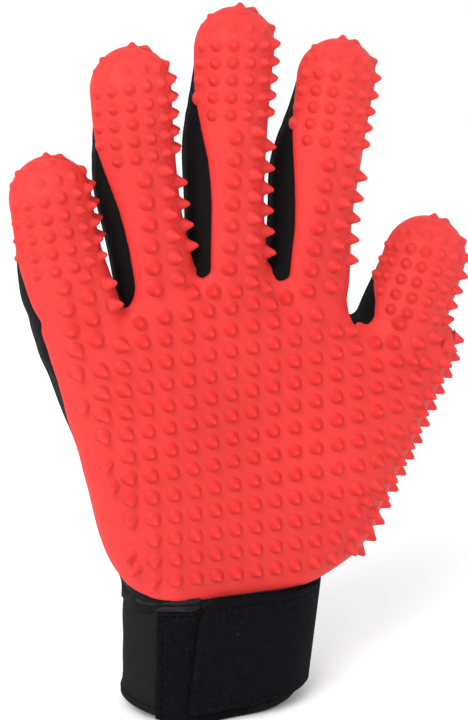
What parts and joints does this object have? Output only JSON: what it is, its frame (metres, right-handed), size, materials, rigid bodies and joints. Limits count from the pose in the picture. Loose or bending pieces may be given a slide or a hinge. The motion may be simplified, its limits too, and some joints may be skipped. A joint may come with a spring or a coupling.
{
  "type": "grooming glove",
  "caption": "Right-hand pet grooming glove with a red silicone palm and fingers covered in soft nubs, a black mesh back, and a neoprene cuff closed by a hook-and-loop strap.",
  "frame": {"origin": "a point inside the wrist opening, at the cuff's lower edge and in line with the middle finger, 6 mm to the thumb side of the opening's centre", "axes": "+Z from the wrist to the fingertips, the palm faces -Y, the thumb is on the +X side"},
  "size_m": [0.1568, 0.049, 0.2359],
  "materials": {
    "red_silicone": "matte, slightly translucent moulded silicone",
    "black_mesh": "breathable polyester mesh",
    "black_knit": "smooth stretch knit",
    "lining": "plain woven",
    "neoprene": "knit-faced neoprene",
    "coated_fabric": "satin",
    "binding_tape": "woven tape",
    "loop_pile": "brushed pile",
    "hook_tape": "fine moulded hooks",
    "thread": "twisted polyester"
  },
  "bodies": {
    "palm": {"back_panel": "black_mesh", "cuff_band": "neoprene", "cuff_binding": "binding_tape", "hook_patch": "loop_pile", "knuckle_sleeves": "black_knit", "little_side_gusset": "black_knit", "palm_lining": "lining", "palm_nubs": "red_silicone", "palm_pad": "red_silicone", "patch_stitching": "thread", "strap_root": "neoprene", "thumb_side_gusset": "black_knit", "web_gussets": "black_knit", "wrist_gather": "coated_fabric"},
    "little_lower": {"little_lower_pad": "red_silicone", "little_lower_nubs": "red_silicone", "little_lower_back": "black_mesh", "little_gussets": "black_knit", "little_bend_sleeve": "black_knit"},
    "little_tip": {"little_tip_pad": "red_silicone", "little_tip_nubs": "red_silicone", "little_tip_back": "black_mesh"},
    "ring_lower": {"ring_lower_pad": "red_silicone", "ring_lower_nubs": "red_silicone", "ring_lower_back": "black_mesh", "ring_gussets": "black_knit", "ring_bend_sleeve": "black_knit"},
    "ring_tip": {"ring_tip_pad": "red_silicone", "ring_tip_nubs": "red_silicone", "ring_tip_back": "black_mesh"},
    "middle_lower": {"middle_lower_pad": "red_silicone", "middle_lower_nubs": "red_silicone", "middle_lower_back": "black_mesh", "middle_gussets": "black_knit", "middle_bend_sleeve": "black_knit"},
    "middle_tip": {"middle_tip_pad": "red_silicone", "middle_tip_nubs": "red_silicone", "middle_tip_back": "black_mesh"},
    "index_lower": {"index_lower_pad": "red_silicone", "index_lower_nubs": "red_silicone", "index_lower_back": "black_mesh", "index_gussets": "black_knit", "index_bend_sleeve": "black_knit"},
    "index_tip": {"index_tip_pad": "red_silicone", "index_tip_nubs": "red_silicone", "index_tip_back": "black_mesh"},
    "thumb_lower": {"thumb_lower_pad": "red_silicone", "thumb_lower_nubs": "red_silicone", "thumb_lower_back": "black_mesh", "thumb_gussets": "black_knit", "thumb_bend_sleeve": "black_knit"},
    "thumb_tip": {"thumb_tip_pad": "red_silicone", "thumb_tip_nubs": "red_silicone", "thumb_tip_back": "black_mesh"},
    "strap": {"strap_flap": "neoprene", "flap_hook_facing": "hook_tape", "flap_stitching": "thread"}
  },
  "joints": [
    {"name": "little_knuckle", "type": "hinge", "parent": "palm", "child": "little_lower", "pos_m": [-0.05404, 0, 0.14195], "axis": [0.989, 0, 0.1478], "range_deg": [0, 50], "stiffness_Nm_per_rad": 0.12},
    {"name": "little_bend", "type": "hinge", "parent": "little_lower", "child": "little_tip", "pos_m": [-0.05729, 0, 0.1637], "axis": [0.989, 0, 0.1478], "range_deg": [0, 50], "stiffness_Nm_per_rad": 0.06},
    {"name": "ring_knuckle", "type": "hinge", "parent": "palm", "child": "ring_lower", "pos_m": [-0.02594, 0, 0.15197], "axis": [0.9957, 0, 0.0924], "range_deg": [0, 60], "stiffness_Nm_per_rad": 0.12},
    {"name": "ring_bend", "type": "hinge", "parent": "ring_lower", "child": "ring_tip", "pos_m": [-0.02982, 0, 0.19379], "axis": [0.9957, 0, 0.0924], "range_deg": [0, 60], "stiffness_Nm_per_rad": 0.06},
    {"name": "middle_knuckle", "type": "hinge", "parent": "palm", "child": "middle_lower", "pos_m": [-0.00038, 0, 0.15799], "axis": [0.9986, 0, -0.0523], "range_deg": [0, 60], "stiffness_Nm_per_rad": 0.12},
    {"name": "middle_bend", "type": "hinge", "parent": "middle_lower", "child": "middle_tip", "pos_m": [0.00203, 0, 0.20393], "axis": [0.9986, 0, -0.0523], "range_deg": [0, 60], "stiffness_Nm_per_rad": 0.06},
    {"name": "index_knuckle", "type": "hinge", "parent": "palm", "child": "index_lower", "pos_m": [0.02825, 0, 0.1519], "axis": [0.9877, 0, -0.1564], "range_deg": [0, 60], "stiffness_Nm_per_rad": 0.12},
    {"name": "index_bend", "type": "hinge", "parent": "index_lower", "child": "index_tip", "pos_m": [0.03513, 0, 0.19536], "axis": [0.9877, 0, -0.1564], "range_deg": [0, 60], "stiffness_Nm_per_rad": 0.06},
    {"name": "thumb_knuckle", "type": "hinge", "parent": "palm", "child": "thumb_lower", "pos_m": [0.06224, 0, 0.1256], "axis": [0.9511, 0, -0.309], "range_deg": [0, 45], "stiffness_Nm_per_rad": 0.12},
    {"name": "thumb_bend", "type": "hinge", "parent": "thumb_lower", "child": "thumb_tip", "pos_m": [0.06842, 0, 0.14463], "axis": [0.9511, 0, -0.309], "range_deg": [0, 45], "stiffness_Nm_per_rad": 0.06},
    {"name": "strap_peel", "type": "hinge", "parent": "palm", "child": "strap", "pos_m": [0.0255, -0.0165, 0.022], "axis": [0.1237, 0.0157, 0.9922], "range_deg": [0, 130]}
  ]
}
